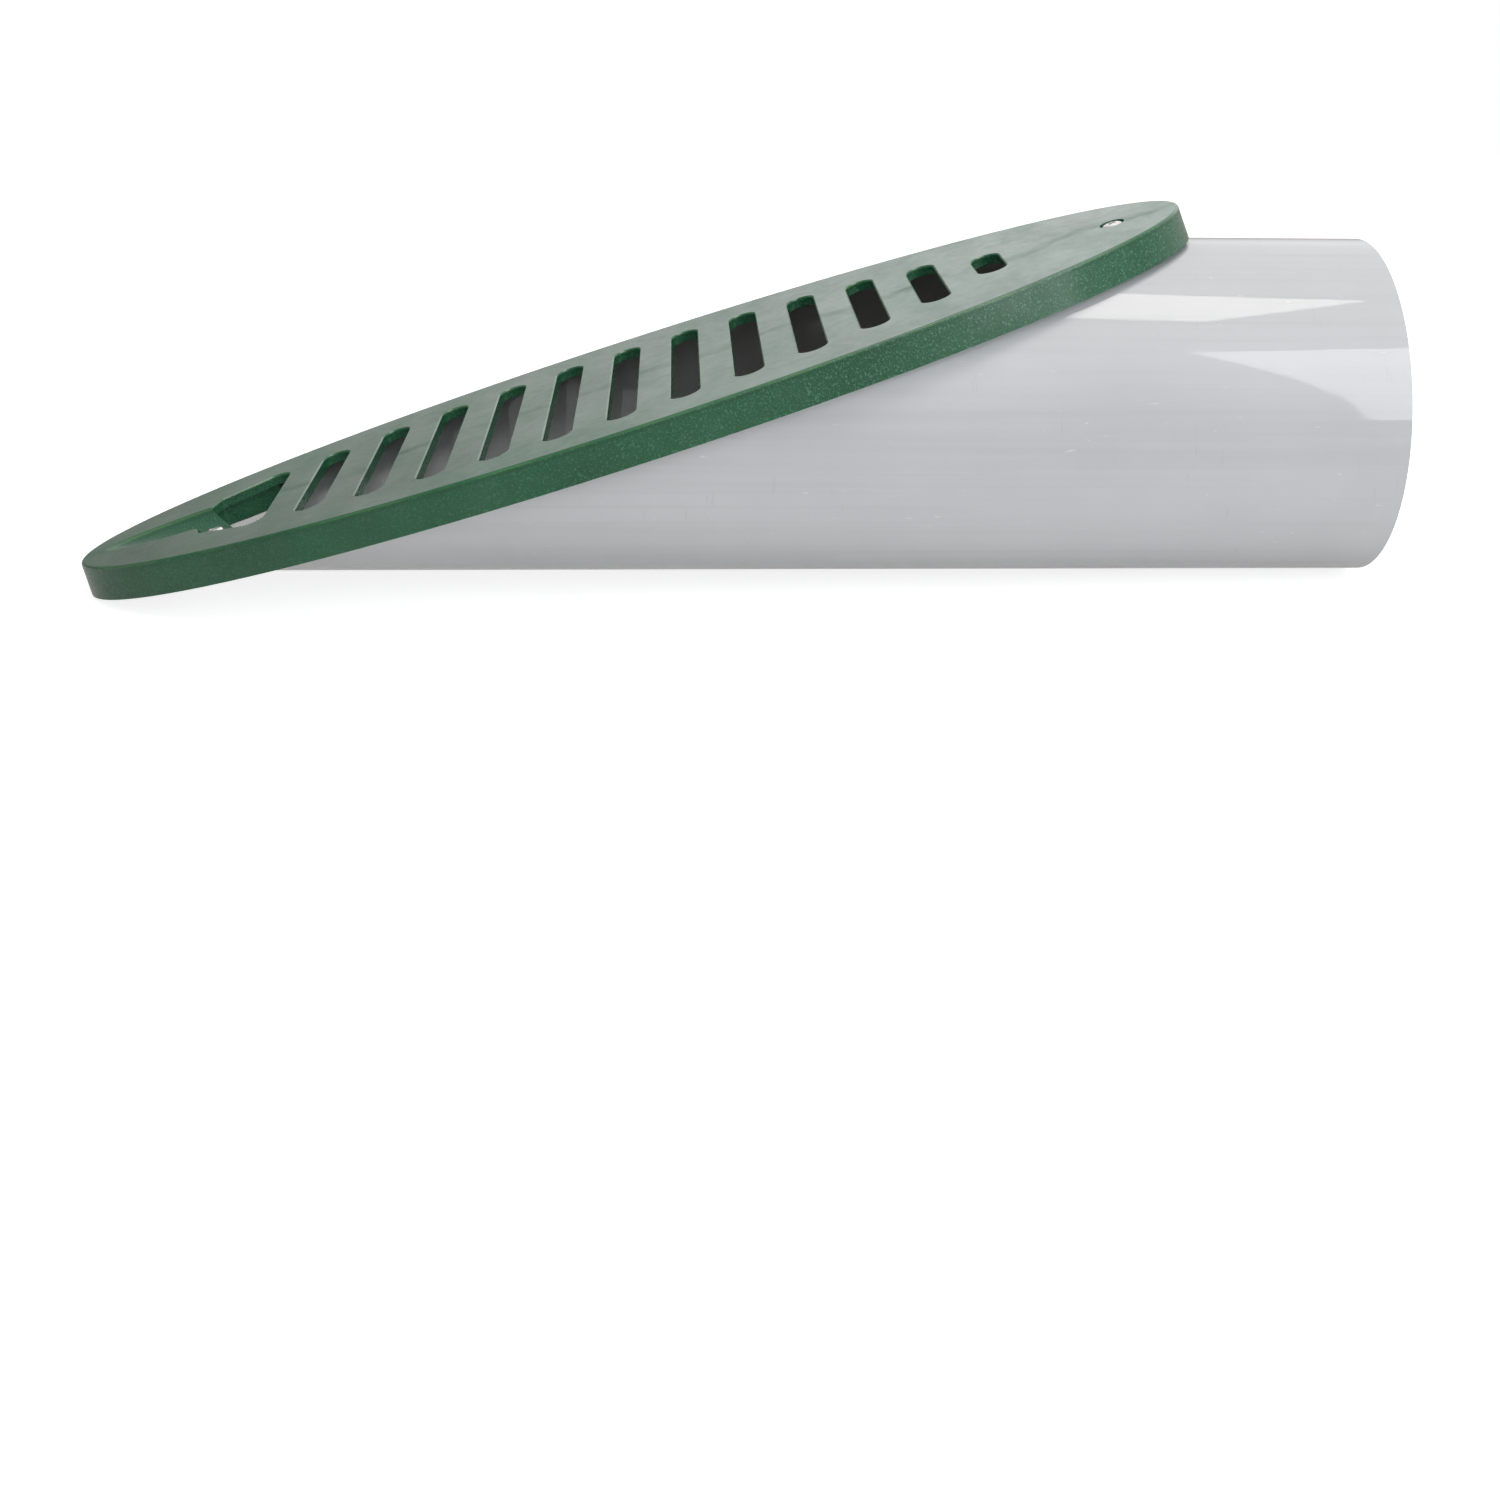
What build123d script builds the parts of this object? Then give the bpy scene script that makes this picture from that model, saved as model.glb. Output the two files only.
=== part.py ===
"""Angled drain emitter: a slotted oval cover screwed over the slanted mouth of a drain pipe.

The pipe lies along X with its inlet face at x = 0, and the water runs towards -X.
+Z is up. Lengths are millimetres and angles are degrees.
"""

from build123d import *
from math import cos, radians, sin, sqrt, tan
import os

# Drain pipe
pipe_diameter = 107.06
pipe_wall = 3.05
pipe_top_length = 88.0
slope_angle = 18.7

# Cover plate and its skirt, with the skirt's depth measured from the top face
plate_thickness = 3.2
skirt_depth = 11.0
skirt_wall = 3.2
skirt_draft = 3.5
skirt_clearance = 2.0
plate_edge_radius = 0.9

# Slots: their ends keep to an oval inside the bore
slot_count = 12
slot_width = 9.2
slot_pitch = 20.32
slot_end_margin = 7.5
slot_row_margin = 23.5
slot_oval_shift = 4.5
slot_rim_bevel = 0.4

# Scoop: a round groove that falls to the lower screw and ends there in a rounded spout
scoop_radius = 12.0
scoop_floor = 5.2
scoop_rise = 7.3
scoop_shell = 2.4
scoop_runout = 13.4

# Winged outlet behind the scoop, with the baffle wall that hangs along its downhill edge
wing_length = 24.6
wing_root_setback = 0.9
wing_root_half = 10.5
wing_shoulder_half = 16.8
wing_shoulder_set = 2.1
wing_span_half = 29.2
wing_tip_radius = 4.5
wing_shoulder_radius = 3.0
baffle_ledge = 1.0
baffle_wall = 2.4
baffle_tip_gap = 6.0
bore_seat_gap = 0.3

# Screws, and the bosses that carry them
screw_radius = 1.7
screw_length = 9.5
screw_pilot_depth = 11.4
screw_point = 2.6
screw_head_radius = 3.5
screw_head_height = 2.2
screw_head_edge = 0.7
screw_crown_radius = 1.9
recess_span = 4.2
recess_width = 1.1
recess_depth = 1.2
recess_taper = 8.0
screw_hole_gap = 0.1
head_pocket_gap = 0.5
upper_screw_inset = 21.3
upper_pocket_depth = 2.6
upper_boss_radius = 5.2
lower_screw_inset = 42.1
lower_pocket_depth = 0.2
lower_boss_radius = 6.7

# The slanted mouth: the plane of the pipe's cut, centred on the pipe's axis
slope = radians(slope_angle)
pipe_radius = pipe_diameter / 2
bore_radius = pipe_radius - pipe_wall
pipe_bottom_length = pipe_top_length + pipe_diameter / tan(slope)
up_slope = Vector(cos(slope), 0, sin(slope))
off_slope = Vector(-sin(slope), 0, cos(slope))
mouth_origin = Vector(-pipe_top_length - pipe_radius / tan(slope), 0, 0)
mouth_plane = Plane(mouth_origin, x_dir=up_slope, z_dir=off_slope)
mouth_half_length = pipe_radius / sin(slope)

# The skirt has to clear the pipe at its lower edge too, so the cover sits uphill of the mouth
skirt_drop = skirt_depth - plate_thickness
cover_shift = skirt_drop / tan(slope) / 2
inner_half_length = mouth_half_length + cover_shift + skirt_clearance
inner_half_width = pipe_radius + skirt_clearance
cover_half_length = inner_half_length + skirt_wall
cover_half_width = inner_half_width + skirt_wall
cover_origin = mouth_origin + up_slope * cover_shift + off_slope * plate_thickness
top_plane = Plane(cover_origin, x_dir=up_slope, z_dir=off_slope)
under_plane = top_plane.offset(-plate_thickness)
hem_plane = top_plane.offset(-skirt_depth)
skirt_flare = skirt_depth * tan(radians(skirt_draft))
inner_flare = skirt_flare / 2

# Places along the plate, counted uphill from the cover's centre
upper_screw_place = cover_half_length - upper_screw_inset
lower_screw_place = lower_screw_inset - cover_half_length
wing_root = lower_screw_place - wing_root_setback
wing_back = wing_root + wing_length
first_slot_place = wing_back + slot_pitch - slot_width / 2
slot_oval_place = slot_oval_shift - cover_shift
slot_oval_half_length = bore_radius / sin(slope) - slot_row_margin
slot_oval_half_width = bore_radius - slot_end_margin

# The scoop's floor line: its depth at the lower screw, and its fall against the plate
scoop_fall = slope - radians(scoop_rise)
floor_height = scoop_floor - bore_radius
scoop_depth = (cover_origin.Z + lower_screw_place * sin(slope) - floor_height) / cos(slope)
scoop_tip_place = lower_screw_place - scoop_depth / tan(scoop_fall)
floor_dir = (up_slope * cos(scoop_fall) - off_slope * sin(scoop_fall)).normalized()
floor_up = (up_slope * sin(scoop_fall) + off_slope * cos(scoop_fall)).normalized()
scoop_tip = cover_origin + up_slope * scoop_tip_place
scoop_plane = Plane(scoop_tip + floor_up * scoop_radius, x_dir=floor_up, z_dir=floor_dir)
scoop_length = scoop_depth / sin(scoop_fall)

# Screw seats: planes under the two heads, square to the plate
upper_seat = top_plane.shift_origin(top_plane.from_local_coords((upper_screw_place, 0, 0)))
upper_seat = upper_seat.offset(-upper_pocket_depth)
lower_seat = top_plane.shift_origin(top_plane.from_local_coords((lower_screw_place, 0, 0)))
lower_seat = lower_seat.offset(-scoop_depth - lower_pocket_depth)
screw_hole_radius = screw_radius + screw_hole_gap
pocket_radius = screw_head_radius + head_pocket_gap

# Helpers for sorting and for the works under the plate, which start inside its thickness
plate_axis = Axis(cover_origin, off_slope)
works_plane = top_plane.offset(-plate_thickness / 2)


def slot_length(place):
    """Length of the slot at a place along the plate, or zero beyond the oval."""
    reach = 1 - ((place - slot_oval_place) / slot_oval_half_length) ** 2
    return 2 * slot_oval_half_width * sqrt(max(reach, 0))


# Wing opening, drawn on the top face: a root at the scoop's mouth and two swept tips
with BuildSketch(top_plane) as wing:
    with BuildLine():
        half = Polyline(
            (wing_root, 0),
            (wing_root, wing_root_half),
            (wing_root + wing_shoulder_set, wing_shoulder_half),
            (wing_back, wing_span_half),
            (wing_back, 0),
        )
        mirror(half, about=Plane.XZ)
    make_face()
    corners = wing.vertices().group_by(Axis.Y)
    fillet(corners[1] + corners[-2], wing_shoulder_radius)
    corners = wing.vertices().group_by(Axis.Y)
    fillet(corners[0] + corners[-1], wing_tip_radius)

# Spout: the scoop's end, a nose about the lower screw that reaches into the wing opening
with BuildSketch(top_plane) as spout:
    with BuildLine():
        Line((wing_root, -wing_root_half), (wing_root, wing_root_half))
    with Locations((lower_screw_place, 0)):
        Circle(lower_boss_radius)
    make_hull()

# Drain pipe: a tube whose downstream end is cut to the slope
with BuildPart() as drain_pipe:
    with BuildSketch(Plane.YZ):
        Circle(pipe_radius)
        Circle(bore_radius, mode=Mode.SUBTRACT)
    extrude(amount=-pipe_bottom_length)
    split(bisect_by=mouth_plane, keep=Keep.BOTTOM)
    with BuildSketch(upper_seat, lower_seat):
        Circle(screw_hole_radius)
    extrude(amount=-screw_pilot_depth, mode=Mode.SUBTRACT)
drain_pipe.part.label = "drain_pipe"

# What hangs under the plate inside the bore: scoop shell, lower screw boss and baffle wall
with BuildPart() as outlet_works:
    with BuildSketch(scoop_plane):
        Circle(scoop_radius + scoop_shell)
    extrude(amount=scoop_length + scoop_runout)
    with BuildSketch(works_plane):
        offset(wing.sketch_local, amount=baffle_ledge + baffle_wall)
        with Locations((wing_back - baffle_tip_gap + cover_half_length / 2, 0)):
            Rectangle(cover_half_length, cover_half_width * 2, mode=Mode.SUBTRACT)
    extrude(amount=-pipe_radius)
    with BuildSketch(works_plane):
        offset(wing.sketch_local, amount=baffle_ledge)
        add(spout.sketch_local, mode=Mode.SUBTRACT)
    extrude(amount=-pipe_radius, mode=Mode.SUBTRACT)
    with BuildSketch(works_plane):
        with Locations((lower_screw_place, 0)):
            Circle(lower_boss_radius)
    extrude(amount=-pipe_radius)
    split(bisect_by=works_plane, keep=Keep.BOTTOM)
    with BuildSketch(Plane.YZ):
        Circle(bore_radius - bore_seat_gap)
    extrude(amount=-pipe_bottom_length, mode=Mode.INTERSECT)

# Boss under the plate for the upper screw, down to the outside of the pipe
with BuildPart() as upper_boss:
    with BuildSketch(upper_seat):
        Circle(upper_boss_radius)
    extrude(amount=-skirt_depth)
    with BuildSketch(Plane.YZ):
        Circle(pipe_radius + bore_seat_gap)
    extrude(amount=-pipe_bottom_length, mode=Mode.SUBTRACT)
    split(bisect_by=under_plane.offset(-skirt_drop), keep=Keep.TOP)

# Grate cover: one moulding with plate, skirt, slots, scoop, wing opening and screw bosses
with BuildPart() as grate_cover:
    with BuildSketch(top_plane):
        Ellipse(cover_half_length, cover_half_width)
    with BuildSketch(hem_plane):
        Ellipse(cover_half_length + skirt_flare, cover_half_width + skirt_flare)
    loft(ruled=True)
    fillet(grate_cover.edges().group_by(plate_axis)[-1], plate_edge_radius)
    with BuildSketch(top_plane):
        add(wing.sketch_local)
        add(spout.sketch_local, mode=Mode.SUBTRACT)
        for index in range(slot_count):
            place = first_slot_place + index * slot_pitch
            length = slot_length(place)
            if length > slot_width:
                with Locations((place, 0)):
                    SlotOverall(length, slot_width, rotation=90)
    extrude(amount=-skirt_depth, mode=Mode.SUBTRACT)
    rims = grate_cover.faces().sort_by(plate_axis)[-1].inner_wires()
    chamfer(rims.edges(), slot_rim_bevel)
    with BuildSketch(under_plane):
        Ellipse(inner_half_length, inner_half_width)
    with BuildSketch(hem_plane):
        Ellipse(inner_half_length + inner_flare, inner_half_width + inner_flare)
    loft(ruled=True, mode=Mode.SUBTRACT)
    add(outlet_works.part)
    add(upper_boss.part)
    with BuildSketch(scoop_plane):
        Circle(scoop_radius)
    extrude(amount=scoop_length + scoop_runout, mode=Mode.SUBTRACT)
    with BuildSketch(upper_seat, lower_seat):
        Circle(pocket_radius)
    extrude(amount=pipe_radius, mode=Mode.SUBTRACT)
    with BuildSketch(upper_seat, lower_seat):
        Circle(screw_hole_radius)
    extrude(amount=-screw_pilot_depth, mode=Mode.SUBTRACT)
grate_cover.part.label = "grate_cover"

# Screws: pan heads with a cross recess, plain shanks and a point
head_profile = [
    (0, -screw_length),
    (screw_radius, screw_point - screw_length),
    (screw_radius, 0),
    (screw_head_radius, 0),
    (screw_head_radius, screw_head_edge),
    (screw_crown_radius, screw_head_height),
    (0, screw_head_height),
]
pieces = [grate_cover, drain_pipe]
for name, seat in (("screw_upper", upper_seat), ("screw_lower", lower_seat)):
    with BuildPart() as screw:
        with BuildSketch(Plane(seat.origin, x_dir=seat.x_dir, z_dir=-seat.y_dir)):
            with BuildLine():
                Polyline(*head_profile, close=True)
            make_face()
        revolve(axis=Axis(seat.origin, seat.z_dir))
        with BuildSketch(seat.offset(screw_head_height)):
            Rectangle(recess_span, recess_width)
            Rectangle(recess_width, recess_span)
        extrude(amount=-recess_depth, taper=recess_taper, mode=Mode.SUBTRACT)
    screw.part.label = name
    pieces.append(screw)

os.makedirs("parts", exist_ok=True)
for piece in pieces:
    export_step(piece.part, f"parts/{piece.part.label}.step")
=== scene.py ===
"""Looks of the angled drain emitter: materials, small surface details, studio and camera.

Everything is in metres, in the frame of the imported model: the pipe lies along X with its
inlet face at x = 0, and +Z is up.
"""

from math import atan, cos, pi, radians, sin

import bmesh
import bpy
from mathutils import Euler, Matrix, Vector


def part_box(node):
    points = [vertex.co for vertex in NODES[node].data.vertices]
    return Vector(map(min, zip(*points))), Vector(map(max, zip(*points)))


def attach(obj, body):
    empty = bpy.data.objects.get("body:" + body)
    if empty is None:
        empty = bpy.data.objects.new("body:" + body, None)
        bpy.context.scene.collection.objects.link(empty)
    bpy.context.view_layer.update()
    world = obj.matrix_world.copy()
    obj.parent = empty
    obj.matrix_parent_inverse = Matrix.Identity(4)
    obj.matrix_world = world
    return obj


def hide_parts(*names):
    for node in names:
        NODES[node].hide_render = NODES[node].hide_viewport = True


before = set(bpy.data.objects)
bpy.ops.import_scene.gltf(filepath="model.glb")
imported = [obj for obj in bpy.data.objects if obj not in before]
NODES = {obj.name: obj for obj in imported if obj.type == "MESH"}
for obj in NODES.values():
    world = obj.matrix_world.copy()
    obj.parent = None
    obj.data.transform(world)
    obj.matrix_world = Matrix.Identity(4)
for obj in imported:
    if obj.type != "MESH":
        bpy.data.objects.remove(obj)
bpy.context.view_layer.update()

# Places read from the frame
COVER_LOW, COVER_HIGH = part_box("grate_cover")
PIPE_LOW, PIPE_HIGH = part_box("drain_pipe")

# The plate's slope, the direction off its top face, and how far that face lies along it
SLOPE = radians(18.7)
OFF_PLATE = Vector((-sin(SLOPE), 0, cos(SLOPE)))
PLATE_TOP = max(v.co.dot(OFF_PLATE) for v in NODES["grate_cover"].data.vertices)

# Camera, worked out from the photograph's upper view
IMAGE_SIZE = 1500
SENSOR = 36.0
CAMERA_PLACE = Vector((-0.2212, -0.6147, 0.1666))
CAMERA_TURN = Euler((radians(76.171), radians(-0.923), radians(-2.923)))
FOCAL_PIXELS = 1985.0
PRINCIPAL_POINT = (779.0, 356.1)
CLIP_START = 0.01

# Colours, as linear values
GREEN = (0.012, 0.098, 0.042)
GREEN_DEEP = (0.006, 0.066, 0.027)
GREEN_PALE = (0.021, 0.120, 0.058)
# Painted highlight along the cover's edges
GREEN_EDGE_HIGHLIGHT = (0.085, 0.215, 0.075)
# Pale specks: partly grain, partly painted glints
GREEN_SPECK_GLINT = (0.100, 0.260, 0.190)
PIPE_GREY = (0.570, 0.584, 0.612)
PIPE_DARKER = (0.528, 0.542, 0.570)
PIPE_STREAK = (0.455, 0.468, 0.490)
PIPE_NICK = (0.720, 0.725, 0.730)
# Painted shade for the pipe's inside
PIPE_INSIDE_SHADE = (0.250, 0.250, 0.245)
STEEL = (0.86, 0.85, 0.83)
STEEL_DULL = (0.60, 0.55, 0.49)
WHITE = (1.0, 1.0, 1.0)

# Cloudy tones: places along a noise, and their colours
GREEN_STOPS = ((0.30, GREEN_DEEP), (0.50, GREEN), (0.74, GREEN_PALE))
PIPE_STOPS = ((0.30, PIPE_DARKER), (0.70, PIPE_GREY))
STEEL_STOPS = ((0.45, STEEL), (0.80, STEEL_DULL))

# Noises. Nearly all values of one lie in NOISE_SPAN; stretch scales each axis beforehand
NOISE_SPAN = (0.3, 0.7)
NOISES = {
    "green_cloud": dict(scale=17.0, detail=4.0),
    "flow_waver": dict(scale=24.0, stretch=(1.0, 0.15, 1.0)),
    "flow_patches": dict(scale=60.0),
    "grain": dict(scale=1500.0, detail=2.0, roughness=0.6),
    # Breaks up the painted edge highlight
    "edge_highlight_breakup": dict(scale=35.0, detail=4.0),
    "unevenness": dict(scale=260.0),
    "sheen_cloud": dict(scale=46.0, detail=5.0, roughness=0.6, stretch=(1.0, 0.6, 1.0)),
    "pipe_cloud": dict(scale=16.0, detail=5.0, roughness=0.6),
    "draw_lines": dict(scale=3.0, detail=4.0, roughness=0.6, stretch=(1.2, 190.0, 190.0)),
    "draw_bands": dict(scale=3.0, detail=4.0, roughness=0.65, stretch=(0.9, 42.0, 42.0)),
    "scuffs": dict(scale=4.0, detail=5.0, roughness=0.7, stretch=(9.0, 60.0, 60.0)),
    "scratches": dict(scale=3.0, roughness=0.6, stretch=(160.0, 22.0, 22.0)),
    "nicks": dict(scale=3.0, detail=2.0, stretch=(60.0, 210.0, 210.0)),
    "steel_marks": dict(scale=1800.0, detail=2.0),
    "steel_tint": dict(scale=500.0),
}

# Flow line over the middle of the cover's bars
FLOW_WAVER = 0.007
FLOW_HALF_WIDTH = 0.0045
FLOW_TONE = 0.60
FLOW_ROUGHNESS = 0.06
FLOW_SHEEN_LOSS = 0.42

# Cover's grain, by depth under the top face: light specks, partly grain and partly painted glints,
# more of them uphill where the glints fall
GRAIN_SPAN = (0.0001, 0.0005)
GRAIN_HEIGHT = 0.00028
TOP_GRAIN = 0.03
GLINT_SPAN_UPHILL = (COVER_LOW.x + 0.10, COVER_HIGH.x - 0.06)
UNEVEN_STRENGTH = 0.10
UNEVEN_HEIGHT = 0.00012

# Cover's top edge: a painted highlight line and a painted dark reflection under it, as depths under
# the top face
EDGE_HIGHLIGHT_DEPTHS = (0.00025, 0.00060)
EDGE_HIGHLIGHT_SOFT = 0.0002
EDGE_DARK_REFLECTION_DEPTHS = (0.0011, 0.0016)
EDGE_DARK_REFLECTION_SOFT = 0.0004
EDGE_DARK_REFLECTION_TONE = 0.45

# Pipe's marks
SCRATCH_TONE = 0.35
SCRATCH_ROUGHNESS = 0.12
DRAW_STRENGTH = 0.07
DRAW_HEIGHT = 0.00012
WAVE_STRENGTH = 0.06
WAVE_HEIGHT = 0.0006

# Pipe's inside: painted shade, darker away from its slanted mouth, and none at its round end
BORE_RADIUS = 0.05048
BORE_SPAN = (BORE_RADIUS + 0.0003, BORE_RADIUS + 0.0008)
INSIDE_SHADE_SPAN = (-0.325, -0.175)
SHADE_FREE_END_SPAN = (-0.030, 0.0)

# Steel's turned marks
MARK_STRENGTH = 0.15
MARK_HEIGHT = 0.00005

# Screws: a domed head with a cross recess, a shank, a point and a rolled thread
HEAD_HEIGHT = 0.0022
HEAD_RADIUS = 0.0035
HEAD_RIM = 0.0013
HEAD_BEVEL = 0.0002
HEAD_DOME = 0.0027
HEAD_STEPS = 72
DOME_STEPS = 14
DOME_FULLNESS = 0.55
DOME_RISE = 0.9
RECESS_REACH = 0.0018
RECESS_WIDTH = 0.00042
RECESS_DEPTH = 0.0015
RECESS_REACH_BELOW = 0.5 * RECESS_REACH
RECESS_WIDTH_BELOW = 0.7 * RECESS_WIDTH
CUTTER_ABOVE = 0.0004
SHARP_ANGLE = radians(32)
SCREW_LENGTH = 0.0095
SCREW_POINT = 0.0026
SHANK_RADIUS = 0.0017
THREAD_RADIUS = 0.00205
THREAD_PITCH = 0.0013
THREAD_STEPS = 28
THREAD_START = 0.0004
THREAD_LENGTH = SCREW_LENGTH - 0.0012
THREAD_HALF_BASE = 0.00030
THREAD_SINK = 0.00006
POINT_BLUNT = 0.12

# Floor, counted from the pipe's axis
FLOOR_FRONT = 0.435
FLOOR_BACK = 0.9
FLOOR_HALF_WIDTH = 2.5
FLOOR_GAP = 0.0002
FLOOR_PALE = (0.90, 0.90, 0.90)
FLOOR_SEEN = (0.60, 0.60, 0.60)
FLOOR_LIFT = 0.80
FLOOR_GLOSS = (0.50, 0.485, 0.47)

# Sky, and the studio in reflections. Spans are shares of a direction along one axis
SKY_TINT = (1.0, 0.997, 0.985)
SKY_LOW = 0.52
SKY_HIGH = 0.40
SKY_FRONT = 1.55
SKY_BACK = 0.62
SKY_FRONT_SPAN = (-0.8, 0.8)
INLET_SHADE = 0.12
INLET_SPAN = (0.45, 0.9)
GLOSS_LOW = (0.46, 0.42, 0.40)
GLOSS_HIGH = (1.12, 1.12, 1.15)
GLOSS_HEIGHT_SPAN = (0.02, 0.26)
GLOSS_FRONT = 0.60
GLOSS_FRONT_SPAN = (-0.4, 0.6)
GLOSS_SIDE = 0.30
GLOSS_SIDE_SPAN = (-0.55, 0.0)

# Lamps: side is the direction of the first of the two sizes
WARM = (1.0, 0.965, 0.885)
COOL = (0.95, 0.975, 1.0)
OVERHEAD = dict(
    place=(-0.044, -0.130, 1.2),
    facing=(0, 0, -1),
    side=(-0.950, 0.311, 0),
    size=(0.80, 0.418),
)
OVERHEAD_POWER = 4.3
FILL_POWER = 3.6
WINDOW = dict(
    place=(0.764, -1.270, 0.87),
    facing=(-0.658, 0.753, 0),
    side=(0.753, 0.658, 0),
    size=(0.70, 1.54),
)
WINDOW_POWER = 10.5


class Nodes:
    """A short way to build the node tree of a material or a world."""

    def __init__(self, owner):
        owner.use_nodes = True
        self.tree = owner.node_tree

    def fill(self, node, inputs):
        """Link each input to a socket, or set it to a plain value."""
        for key, value in dict(inputs).items():
            socket = node.inputs[key]
            if isinstance(value, bpy.types.NodeSocket):
                self.tree.links.new(value, socket)
            elif socket.type == "RGBA":
                socket.default_value = (*value, 1.0)
            else:
                socket.default_value = value
        return node

    def add(self, kind, inputs=(), **settings):
        node = self.tree.nodes.new(kind)
        for key, value in settings.items():
            setattr(node, key, value)
        return self.fill(node, inputs)

    def place(self, stretch=(1, 1, 1)):
        """The object's coordinates, stretched along each axis."""
        source = self.add("ShaderNodeTexCoord").outputs["Object"]
        return self.add("ShaderNodeMapping", {"Vector": source, "Scale": stretch}).outputs["Vector"]

    def axes(self, vector):
        return self.add("ShaderNodeSeparateXYZ", {"Vector": vector}).outputs

    def noise(self, name):
        texture = {"detail": 3.0, "roughness": 0.5, "stretch": (1, 1, 1), **NOISES[name]}
        inputs = {
            "Vector": self.place(texture["stretch"]),
            "Scale": texture["scale"],
            "Detail": texture["detail"],
            "Roughness": texture["roughness"],
        }
        return self.add("ShaderNodeTexNoise", inputs).outputs["Fac"]

    def ramp(self, source, stops):
        node = self.add("ShaderNodeValToRGB", {"Fac": source})
        elements = node.color_ramp.elements
        while len(elements) < len(stops):
            elements.new(0.5)
        for element, (position, colour) in zip(elements, stops):
            element.position = position
            element.color = (*colour, 1.0)
        return node.outputs["Color"]

    def remap(self, source, into, span=NOISE_SPAN):
        """Carry the span over into another one, and hold its ends beyond it."""
        names = ("Value", "From Min", "From Max", "To Min", "To Max")
        node = self.add("ShaderNodeMapRange", zip(names, (source, *span, *into)))
        return node.outputs["Result"]

    def math(self, operation, *values):
        node = self.add("ShaderNodeMath", enumerate(values), operation=operation)
        return node.outputs["Value"]

    def times(self, first, second):
        return self.math("MULTIPLY", first, second)

    def mix(self, factor, first, second):
        inputs = {"Factor": factor, "A": first, "B": second}
        return self.add("ShaderNodeMix", inputs, data_type="RGBA").outputs["Result"]

    def band(self, source, span, soft):
        """One inside the span, and zero beyond its soft ends."""
        start, end = span
        rise = self.remap(source, (0.0, 1.0), (start - soft, start))
        fall = self.remap(source, (1.0, 0.0), (end, end + soft))
        return self.times(rise, fall)

    def depth(self):
        """How far a point lies under the plate's top face."""
        inputs = {0: self.place(), 1: OFF_PLATE}
        node = self.add("ShaderNodeVectorMath", inputs, operation="DOT_PRODUCT")
        return self.math("SUBTRACT", PLATE_TOP, node.outputs["Value"])

    def bump(self, height, strength, distance, under=None):
        inputs = {"Height": height, "Strength": strength, "Distance": distance}
        if under is not None:
            inputs["Normal"] = under
        return self.add("ShaderNodeBump", inputs).outputs["Normal"]

    def by_ray(self, ray, chosen, others):
        """One shader for one kind of ray, and another for all the rest."""
        path = self.add("ShaderNodeLightPath").outputs[ray]
        return self.add("ShaderNodeMixShader", {0: path, 1: others, 2: chosen}).outputs[0]

    def stage(self, output, seen, mirrored, others):
        """Surface that differs to the camera and in reflections."""
        inner = self.by_ray("Is Glossy Ray", mirrored, others)
        self.add(output, {"Surface": self.by_ray("Is Camera Ray", seen, inner)})


def place_object(name, data):
    thing = bpy.data.objects.new(name, data)
    bpy.context.scene.collection.objects.link(thing)
    return thing


def add_camera():
    data = bpy.data.cameras.new("camera")
    data.sensor_width = SENSOR
    data.lens = FOCAL_PIXELS / IMAGE_SIZE * SENSOR
    data.shift_x = (IMAGE_SIZE / 2 - PRINCIPAL_POINT[0]) / IMAGE_SIZE
    data.shift_y = (PRINCIPAL_POINT[1] - IMAGE_SIZE / 2) / IMAGE_SIZE
    data.clip_start = CLIP_START
    camera = place_object("camera", data)
    camera.location = CAMERA_PLACE
    camera.rotation_euler = CAMERA_TURN
    bpy.context.scene.camera = camera


def finish_look(material, nodes, inputs):
    """Fill the inputs of the material's main shader."""
    nodes.fill(nodes.tree.nodes["Principled BSDF"], inputs)
    return material


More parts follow.
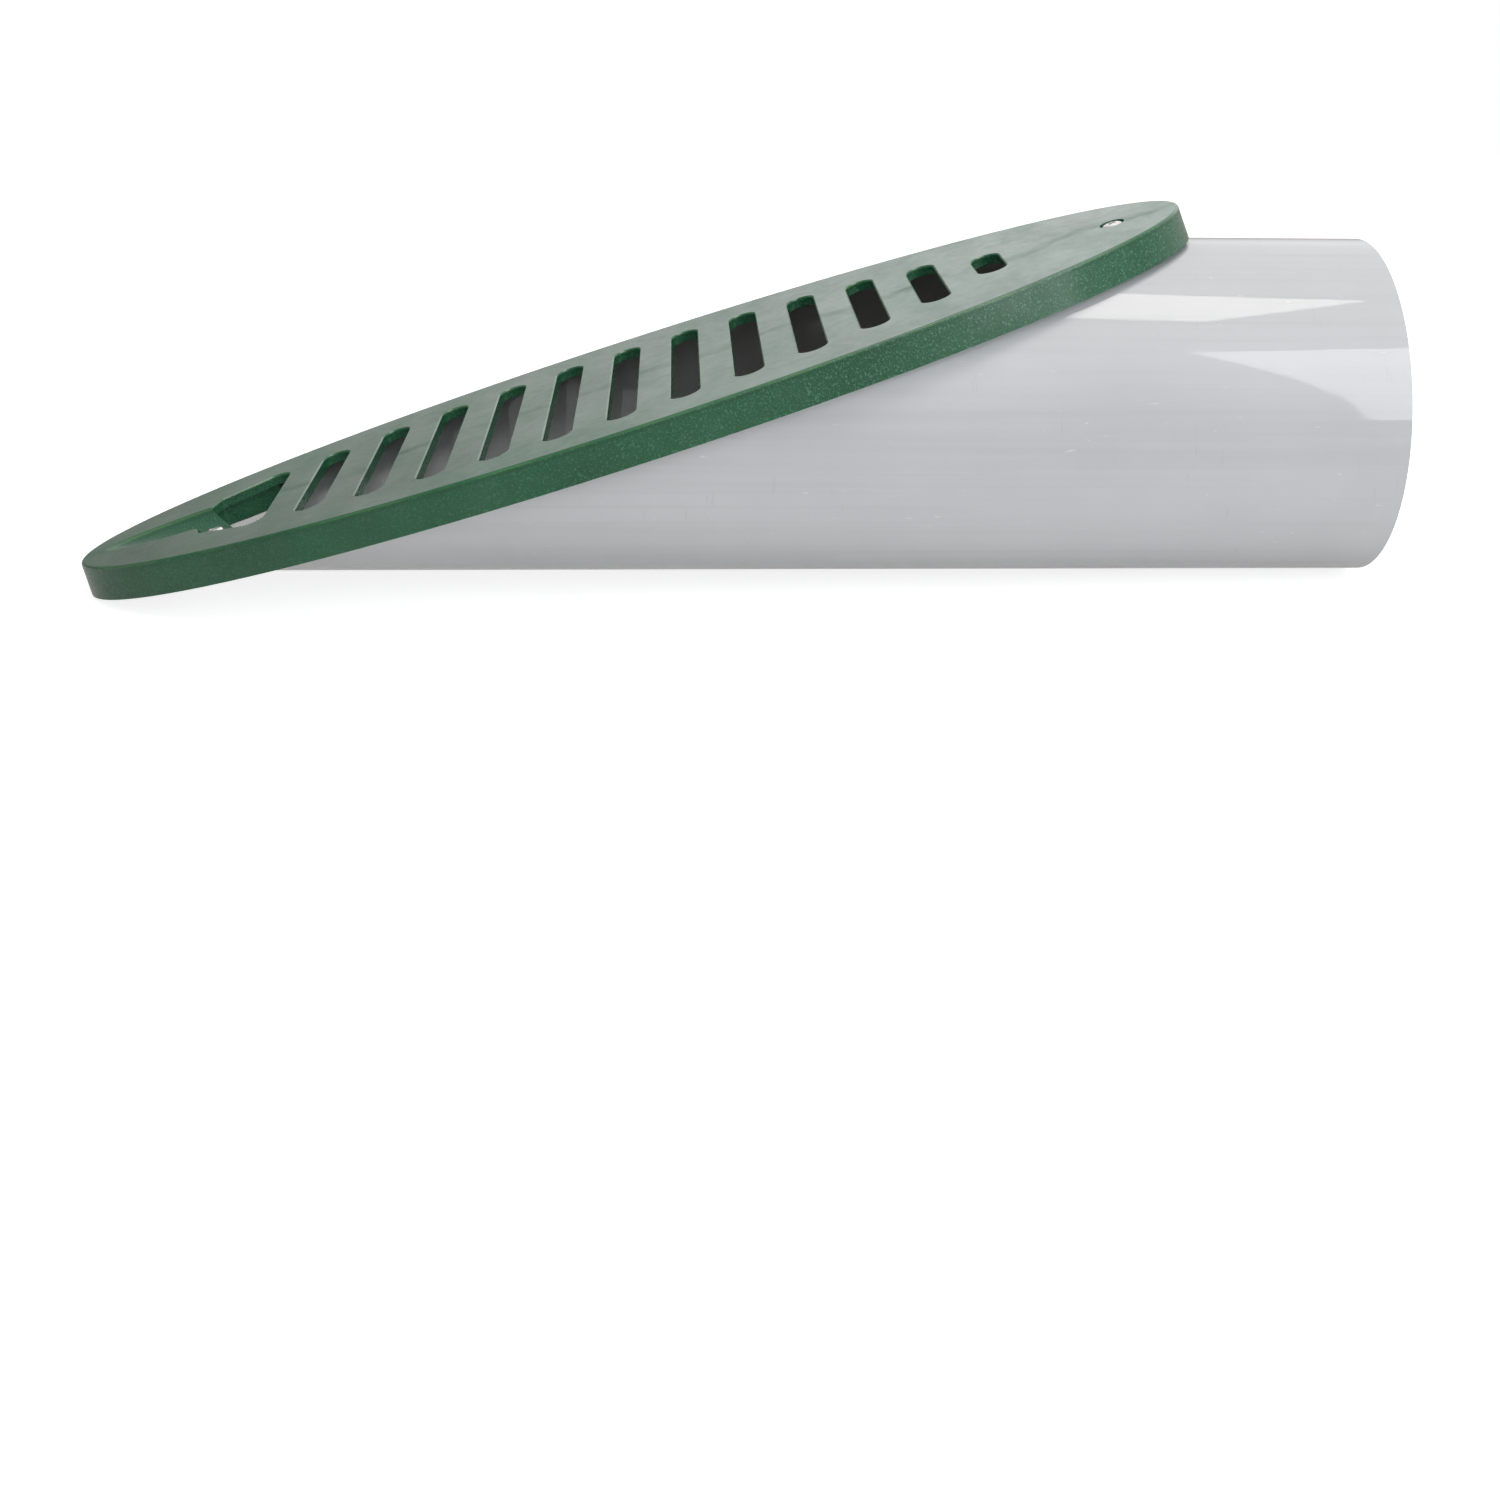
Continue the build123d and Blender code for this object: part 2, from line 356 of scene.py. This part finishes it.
def green_plastic():
    """Moulded plastic: cloudy on top, with a flow line, and grained on its sides."""
    material = bpy.data.materials.new("green_plastic_look")
    m = Nodes(material)
    along = m.axes(m.place())
    tone = m.ramp(m.noise("green_cloud"), GREEN_STOPS)

    # Flow line: a wavering darker streak over the middle of the bars
    waver = m.remap(m.noise("flow_waver"), (-FLOW_WAVER, FLOW_WAVER))
    offset = m.math("ABSOLUTE", m.math("ADD", along["Y"], waver))
    near = m.remap(offset, (1.0, 0.0), (0.0, FLOW_HALF_WIDTH))
    patchy = m.remap(m.noise("flow_patches"), into=(0.1, 1.0), span=(0.35, 0.65))
    streak = m.times(near, patchy)
    tone = m.mix(m.times(streak, FLOW_TONE), tone, GREEN_DEEP)

    # Grain: the sides and edges are grained, and the top face is nearly smooth
    depth = m.depth()
    side = m.remap(depth, (0.0, 1.0), GRAIN_SPAN)
    grain = m.noise("grain")
    # Pale specks: partly grain, partly painted glints, denser uphill
    glints_uphill = m.remap(along["X"], (0.25, 1.0), GLINT_SPAN_UPHILL)
    grain_and_glint_specks = m.times(m.remap(grain, into=(0.0, 0.80), span=(0.55, 0.67)), side)
    tone = m.mix(m.times(grain_and_glint_specks, glints_uphill), tone, GREEN_SPECK_GLINT)

    # Edge line: a thin painted highlight, broken up by noise, with a painted dark reflection under
    # it; both follow depth, so they also run round the slot rims
    highlight_breakup = m.remap(m.noise("edge_highlight_breakup"), into=(0.05, 0.60), span=(0.40, 0.66))
    painted_edge_highlight = m.times(m.band(depth, EDGE_HIGHLIGHT_DEPTHS, EDGE_HIGHLIGHT_SOFT), highlight_breakup)
    tone = m.mix(painted_edge_highlight, tone, GREEN_EDGE_HIGHLIGHT)
    painted_edge_dark_reflection = m.times(m.band(depth, EDGE_DARK_REFLECTION_DEPTHS, EDGE_DARK_REFLECTION_SOFT), EDGE_DARK_REFLECTION_TONE)
    tone = m.mix(painted_edge_dark_reflection, tone, GREEN_DEEP)

    # Sheen: a clear skin, cloudy, and thinner on the flow line
    sheen = m.remap(m.noise("sheen_cloud"), into=(0.46, 0.92), span=(0.30, 0.66))
    uneven = m.noise("unevenness")
    grained = m.bump(grain, m.remap(side, (TOP_GRAIN, 1.0), (0.0, 1.0)), GRAIN_HEIGHT)
    rubbed = m.times(streak, FLOW_ROUGHNESS)
    return finish_look(material, m, {
        "Base Color": tone,
        "Roughness": m.math("ADD", m.remap(uneven, (0.24, 0.36)), rubbed),
        "Normal": m.bump(uneven, UNEVEN_STRENGTH, UNEVEN_HEIGHT, grained),
        "IOR": 1.45,
        "Specular IOR Level": 0.42,
        "Coat Weight": m.math("SUBTRACT", sheen, m.times(streak, FLOW_SHEEN_LOSS)),
        "Coat Roughness": 0.17,
    })


def grey_pipe():
    """Extruded plastic: glossy, with draw lines along it, a cloudy tone and rubbed marks."""
    material = bpy.data.materials.new("grey_pipe_look")
    m = Nodes(material)
    cloud = m.noise("pipe_cloud")
    lines = m.noise("draw_lines")
    tone = m.ramp(cloud, PIPE_STOPS)
    tone = m.mix(m.remap(lines, into=(0.0, 0.30), span=(0.50, 0.76)), tone, PIPE_STREAK)
    bands = m.remap(m.noise("draw_bands"), into=(0.0, 0.38), span=(0.50, 0.72))
    tone = m.mix(bands, tone, PIPE_STREAK)

    # Rubbed marks: dull scuffs along the pipe, thin scratches across it and pale nicks
    scuffed = m.remap(m.noise("scuffs"), into=(0.0, 0.10), span=(0.54, 0.74))
    scratched = m.remap(m.noise("scratches"), into=(0.0, 1.0), span=(0.68, 0.73))
    tone = m.mix(m.times(scratched, SCRATCH_TONE), tone, PIPE_STREAK)
    nicks = m.remap(m.noise("nicks"), into=(0.0, 0.55), span=(0.72, 0.78))
    tone = m.mix(nicks, tone, PIPE_NICK)

    # Inside: painted shade, darker away from the slanted mouth and fading out at the round end
    along = m.axes(m.place())
    across = m.add("ShaderNodeCombineXYZ", {"Y": along["Y"], "Z": along["Z"]})
    radius = m.add("ShaderNodeVectorMath", {0: across.outputs["Vector"]}, operation="LENGTH")
    inner = m.remap(radius.outputs["Value"], (1.0, 0.0), BORE_SPAN)
    painted_shade = m.remap(along["X"], (0.0, 1.0), INSIDE_SHADE_SPAN)
    painted_shade = m.times(painted_shade, m.remap(along["X"], (1.0, 0.0), SHADE_FREE_END_SPAN))
    tone = m.mix(m.times(inner, painted_shade), tone, PIPE_INSIDE_SHADE)

    rough = m.math("ADD", m.remap(lines, (0.018, 0.050)), scuffed)
    drawn = m.bump(lines, DRAW_STRENGTH, DRAW_HEIGHT)
    return finish_look(material, m, {
        "Base Color": tone,
        "Roughness": m.math("ADD", rough, m.times(scratched, SCRATCH_ROUGHNESS)),
        "Normal": m.bump(cloud, WAVE_STRENGTH, WAVE_HEIGHT, drawn),
        "IOR": 1.53,
    })


def screw_steel():
    """Bright plated steel with fine turned marks."""
    material = bpy.data.materials.new("screw_steel_look")
    m = Nodes(material)
    marks = m.noise("steel_marks")
    return finish_look(material, m, {
        "Base Color": m.ramp(m.noise("steel_tint"), STEEL_STOPS),
        "Metallic": 1.0,
        "Roughness": m.remap(marks, (0.14, 0.30)),
        "Normal": m.bump(marks, MARK_STRENGTH, MARK_HEIGHT),
    })


def dress(node, material):
    mesh = NODES[node].data
    mesh.materials.clear()
    mesh.materials.append(material)


def white_stage():
    """Pale floor that the camera sees as white, with the object's soft shadow on it."""
    material = bpy.data.materials.new("stage_white")
    m = Nodes(material)
    m.tree.nodes.clear()
    plain = m.add("ShaderNodeBsdfDiffuse", {"Color": FLOOR_PALE}).outputs[0]
    mirrored = m.add("ShaderNodeEmission", {"Color": FLOOR_GLOSS}).outputs[0]
    faint = m.add("ShaderNodeBsdfDiffuse", {"Color": FLOOR_SEEN}).outputs[0]
    lift = m.add("ShaderNodeEmission", {"Strength": FLOOR_LIFT}).outputs[0]
    seen = m.add("ShaderNodeAddShader", {0: faint, 1: lift}).outputs[0]
    m.stage("ShaderNodeOutputMaterial", seen, mirrored, plain)
    return material


def add_floor(material):
    """A floor under the cover's low tip and the bottom of the pipe's inlet end.

    It reaches a little way in front of the object, where its edge shows in the pipe's gloss.
    """
    fall = (PIPE_LOW.z - COVER_LOW.z) / (PIPE_HIGH.x - COVER_LOW.x)
    bpy.ops.mesh.primitive_plane_add(size=1)
    floor = bpy.context.object
    floor.name = "floor"
    floor.scale = (2 * FLOOR_HALF_WIDTH, FLOOR_FRONT + FLOOR_BACK, 1)
    floor.location = (COVER_LOW.x, (FLOOR_BACK - FLOOR_FRONT) / 2, COVER_LOW.z - FLOOR_GAP)
    floor.rotation_euler = (0, -atan(fall), 0)
    floor.data.materials.append(material)


def add_world():
    """White to the camera, a soft sky as light, and a dimmer studio in reflections."""
    world = bpy.data.worlds.new("studio")
    bpy.context.scene.world = world
    w = Nodes(world)
    w.tree.nodes.clear()
    towards = w.axes(w.add("ShaderNodeTexCoord").outputs["Generated"])
    seen = w.add("ShaderNodeBackground", {"Color": WHITE}).outputs[0]

    # Sky: brighter in front, and dim beyond the pipe's open end
    sky = w.remap(towards["Z"], (SKY_LOW, SKY_HIGH), (0.0, 1.0))
    front = w.remap(towards["Y"], (SKY_FRONT, SKY_BACK), SKY_FRONT_SPAN)
    inlet = w.remap(towards["X"], (1.0, INLET_SHADE), INLET_SPAN)
    strength = w.times(w.times(sky, front), inlet)
    light = w.add("ShaderNodeBackground", {"Color": SKY_TINT, "Strength": strength}).outputs[0]

    # Reflections: dimmer low down, behind the camera and beyond the cover's low end
    height = w.remap(towards["Z"], (0.0, 1.0), GLOSS_HEIGHT_SPAN)
    tint = w.ramp(height, ((0.0, GLOSS_LOW), (1.0, GLOSS_HIGH)))
    behind = w.remap(towards["Y"], (GLOSS_FRONT, 1.0), GLOSS_FRONT_SPAN)
    low_end = w.remap(towards["X"], (GLOSS_SIDE, 1.0), GLOSS_SIDE_SPAN)
    strength = w.times(behind, low_end)
    mirrored = w.add("ShaderNodeBackground", {"Color": tint, "Strength": strength}).outputs[0]
    w.stage("ShaderNodeOutputWorld", seen, mirrored, light)


def add_softbox(name, power, colour, place, facing, side, size, mirrored=True):
    """A rectangular lamp, which reflections leave out unless it is mirrored."""
    data = bpy.data.lights.new(name, "AREA")
    data.shape = "RECTANGLE"
    data.size, data.size_y = size
    data.energy = power
    data.color = colour
    back = -Vector(facing).normalized()
    right = Vector(side).normalized()
    lamp = place_object(name, data)
    lamp.matrix_world = Matrix((right, back.cross(right), back)).transposed().to_4x4()
    lamp.location = place
    lamp.visible_glossy = mirrored


def screw_line(node):
    """A screw's point and crown, which both lie on its axis."""
    points = [v.co for v in NODES[node].data.vertices]
    tip = min(points, key=lambda co: co.dot(OFF_PLATE))
    crown = max(points, key=lambda co: co.dot(OFF_PLATE))
    return tip.copy(), tip + OFF_PLATE * (crown - tip).dot(OFF_PLATE)


def to_data(name, mesh):
    """Turn a bmesh into mesh data whose faces point outwards."""
    bmesh.ops.recalc_face_normals(mesh, faces=mesh.faces)
    data = bpy.data.meshes.new(name)
    mesh.to_mesh(data)
    mesh.free()
    return data


def add_piece(name, mesh, material):
    """Turn a bmesh into a piece that rides on the object."""
    piece = place_object(name, to_data(name, mesh))
    piece.data.materials.append(material)
    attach(piece, "root")
    return piece


def axis_frame(origin):
    """A frame at origin whose Z is the direction off the plate and whose Y is the object's Y."""
    side = Vector((0, 1, 0))
    turned = Matrix((side.cross(OFF_PLATE), side, OFF_PLATE)).transposed().to_4x4()
    turned.translation = origin
    return turned


def bridge(mesh, lower, upper):
    """Faces between two closed rings of as many points."""
    for k in range(len(lower)):
        following = (k + 1) % len(lower)
        mesh.faces.new((lower[k], lower[following], upper[following], upper[k]))


def head_profile():
    """Radii and heights from the point up the shank, over the head's seat and round its dome."""
    profile = [
        (0.0, -SCREW_LENGTH),
        (SHANK_RADIUS, SCREW_POINT - SCREW_LENGTH),
        (SHANK_RADIUS, 0.0),
        (HEAD_RADIUS - HEAD_BEVEL, 0.0),
        (HEAD_RADIUS, HEAD_BEVEL),
        (HEAD_RADIUS, HEAD_RIM),
    ]
    for k in range(1, DOME_STEPS):
        angle = pi / 2 * k / DOME_STEPS
        rise = (HEAD_DOME - HEAD_RIM) * sin(angle) ** DOME_RISE
        profile.append((HEAD_RADIUS * cos(angle) ** DOME_FULLNESS, HEAD_RIM + rise))
    return profile + [(0.0, HEAD_DOME)]


def lathe(profile, steps):
    """A closed solid of revolution about Z, whose profile starts and ends on the axis."""
    mesh = bmesh.new()
    first = mesh.verts.new((0, 0, profile[0][1]))
    last = mesh.verts.new((0, 0, profile[-1][1]))
    turns = [2 * pi * k / steps for k in range(steps)]
    rings = []
    for radius, height in profile[1:-1]:
        rings.append([mesh.verts.new((radius * cos(a), radius * sin(a), height)) for a in turns])
    for k in range(steps):
        following = (k + 1) % steps
        mesh.faces.new((first, rings[0][following], rings[0][k]))
        mesh.faces.new((last, rings[-1][k], rings[-1][following]))
    for lower, upper in zip(rings, rings[1:]):
        bridge(mesh, lower, upper)
    return mesh


def cross_cutter():
    """A cross-shaped plug that narrows towards its bottom, to cut the recess with."""
    mesh = bmesh.new()
    rings = []
    for height, reach, width in (
        (HEAD_DOME - RECESS_DEPTH, RECESS_REACH_BELOW, RECESS_WIDTH_BELOW),
        (HEAD_DOME + CUTTER_ABOVE, RECESS_REACH, RECESS_WIDTH),
    ):
        ring = []
        for quarter in range(4):
            turn = Matrix.Rotation(pi / 4 + quarter * pi / 2, 3, "Z")
            for x, y in ((width, -width), (reach, -width), (reach, width)):
                ring.append(mesh.verts.new(turn @ Vector((x, y, height))))
        rings.append(ring)
    bridge(mesh, *rings)
    mesh.faces.new(rings[0][::-1])
    mesh.faces.new(rings[1])
    return mesh


def carve(piece, cutter_mesh):
    """Cut a bmesh out of a piece, and keep the result as the piece's own mesh."""
    cutter = place_object("cutter", to_data("cutter", cutter_mesh))
    cut = piece.modifiers.new("recess", "BOOLEAN")
    cut.operation = "DIFFERENCE"
    cut.solver = "EXACT"
    cut.object = cutter
    bpy.context.view_layer.update()
    graph = bpy.context.evaluated_depsgraph_get()
    carved = bpy.data.meshes.new_from_object(piece.evaluated_get(graph))
    piece.modifiers.clear()
    piece.data = carved
    bpy.data.objects.remove(cutter)


def add_screw(end, material):
    """The screw as it is made, in place of the plain one: its head, recess, shank and thread."""
    node = f"screw_{end}"
    tip, crown = screw_line(node)
    seat = axis_frame(crown - OFF_PLATE * HEAD_HEIGHT)
    body = lathe(head_profile(), HEAD_STEPS)
    body.transform(seat)
    screw = add_piece(f"{node}_detail", body, material)
    plug = cross_cutter()
    plug.transform(seat)
    carve(screw, plug)
    screw.data.shade_smooth()
    screw.data.set_sharp_from_angle(angle=SHARP_ANGLE)
    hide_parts(node)
    add_thread(f"thread_{end}", tip, material)


def add_thread(name, tip, material):
    """A rolled thread: one ridge that winds up the shank and tapers with the point."""
    side = Vector((0, 1, 0))
    other = OFF_PLATE.cross(side)
    mesh = bmesh.new()
    rings = []
    for step in range(int(THREAD_LENGTH / THREAD_PITCH * THREAD_STEPS) + 1):
        turn = step / THREAD_STEPS
        height = THREAD_START + turn * THREAD_PITCH
        taper = min(1.0, max(POINT_BLUNT, height / SCREW_POINT))
        outward = side * cos(2 * pi * turn) + other * sin(2 * pi * turn)
        root = SHANK_RADIUS * taper - THREAD_SINK
        ridge = root + (THREAD_RADIUS - SHANK_RADIUS) * min(1.0, turn)
        ring = []
        for radius, lift in ((root, -THREAD_HALF_BASE), (ridge, 0.0), (root, THREAD_HALF_BASE)):
            ring.append(mesh.verts.new(tip + OFF_PLATE * (height + lift) + outward * radius))
        rings.append(ring)
    for first, second in zip(rings, rings[1:]):
        bridge(mesh, first, second)
    mesh.faces.new(rings[0][::-1])
    mesh.faces.new(rings[-1])
    add_piece(name, mesh, material)


def main():
    add_camera()
    dress("grate_cover", green_plastic())
    dress("drain_pipe", grey_pipe())
    steel = screw_steel()
    for end in ("upper", "lower"):
        dress(f"screw_{end}", steel)
        add_screw(end, steel)
    add_floor(white_stage())
    add_world()
    add_softbox("overhead", OVERHEAD_POWER, WARM, **OVERHEAD)
    add_softbox("fill", FILL_POWER, WARM, **OVERHEAD, mirrored=False)
    add_softbox("window", WINDOW_POWER, COOL, **WINDOW)
    bpy.context.scene.view_settings.view_transform = "Standard"


main()
